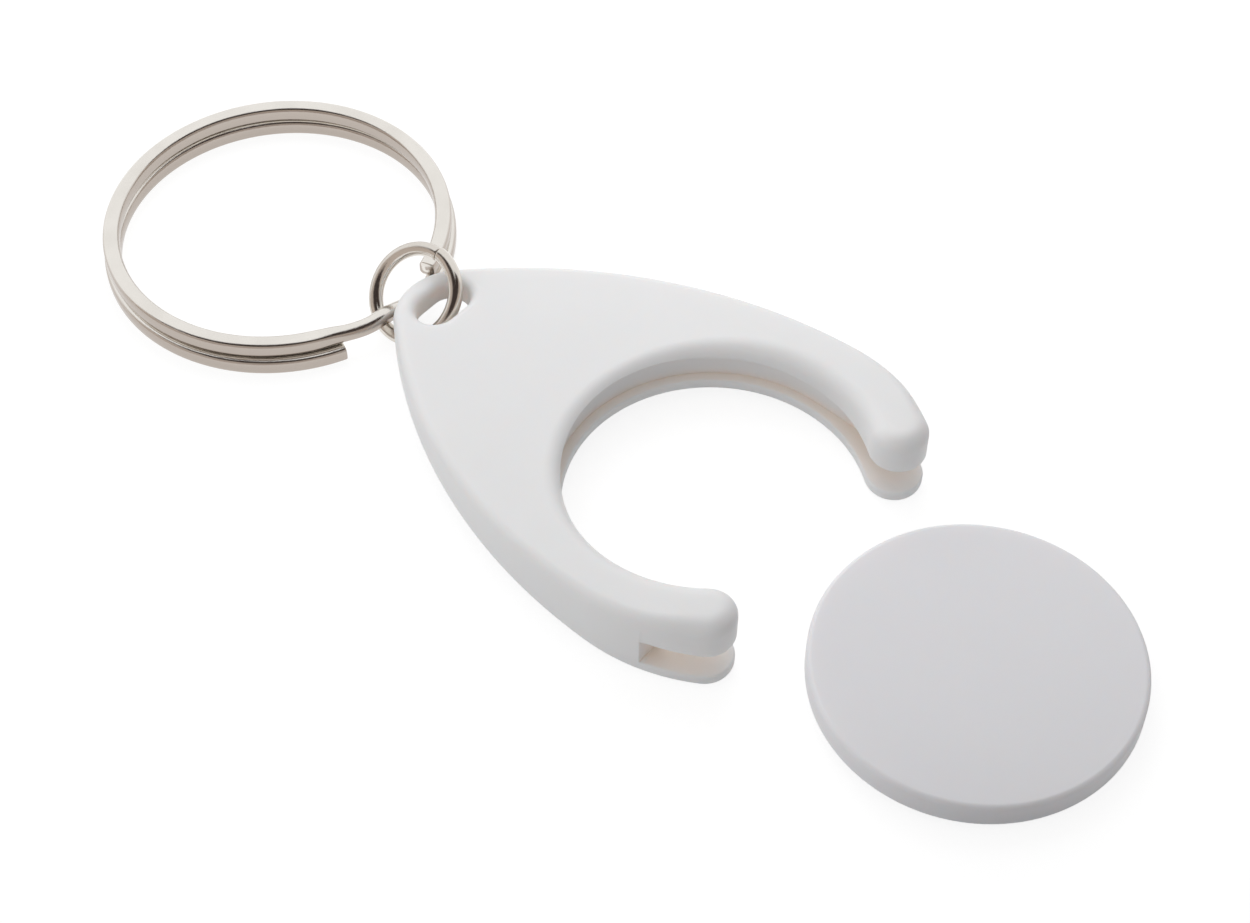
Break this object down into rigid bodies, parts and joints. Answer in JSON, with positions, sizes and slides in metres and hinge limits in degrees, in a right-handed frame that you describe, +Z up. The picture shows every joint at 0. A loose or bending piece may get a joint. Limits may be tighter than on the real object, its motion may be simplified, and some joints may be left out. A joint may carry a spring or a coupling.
{
  "type": "trolley coin keyring",
  "caption": "Moulded clip that grips a round trolley token in a slotted bay, with a jump ring and a split key ring at its nose.",
  "frame": {"origin": "middle of the bounding box's underside, on the table that the keyring lies on", "axes": "+X from the split ring through the clip's nose to the token, +Z up from the table, +Y to the left when looking along +X"},
  "size_m": [0.0914, 0.0298, 0.0068],
  "materials": {
    "holder_plastic": "satin moulded white plastic with soft highlights on its rounded edges",
    "coin_plastic": "satin moulded white plastic, with a cooler tone than the clip",
    "nickel_wire": "bright nickel plate, warm grey",
    "nickel_spring_wire": "bright nickel plate on spring steel, warm grey, fine drawing marks along the wire"
  },
  "bodies": {
    "holder": {"coin_holder": "holder_plastic"},
    "coin": {"trolley_coin": "coin_plastic"},
    "jump_ring": {"jump_ring": "nickel_wire"},
    "split_ring": {"split_ring": "nickel_spring_wire"}
  },
  "joints": [
    {"name": "coin_slide", "type": "slide", "parent": "holder", "child": "coin", "axis": [0.9989, 0, -0.0471], "range_m": [-0.02295, 0]},
    {"name": "jump_ring_stand", "type": "hinge", "parent": "holder", "child": "jump_ring", "pos_m": [-0.01834, -0.0001, 0.00283], "axis": [1, 0, 0], "range_deg": [0, 49]},
    {"name": "split_ring_swing", "type": "hinge", "parent": "holder", "child": "split_ring", "pos_m": [-0.01915, 0, 0.0019], "axis": [0, 1, 0], "range_deg": [0, 45]}
  ]
}
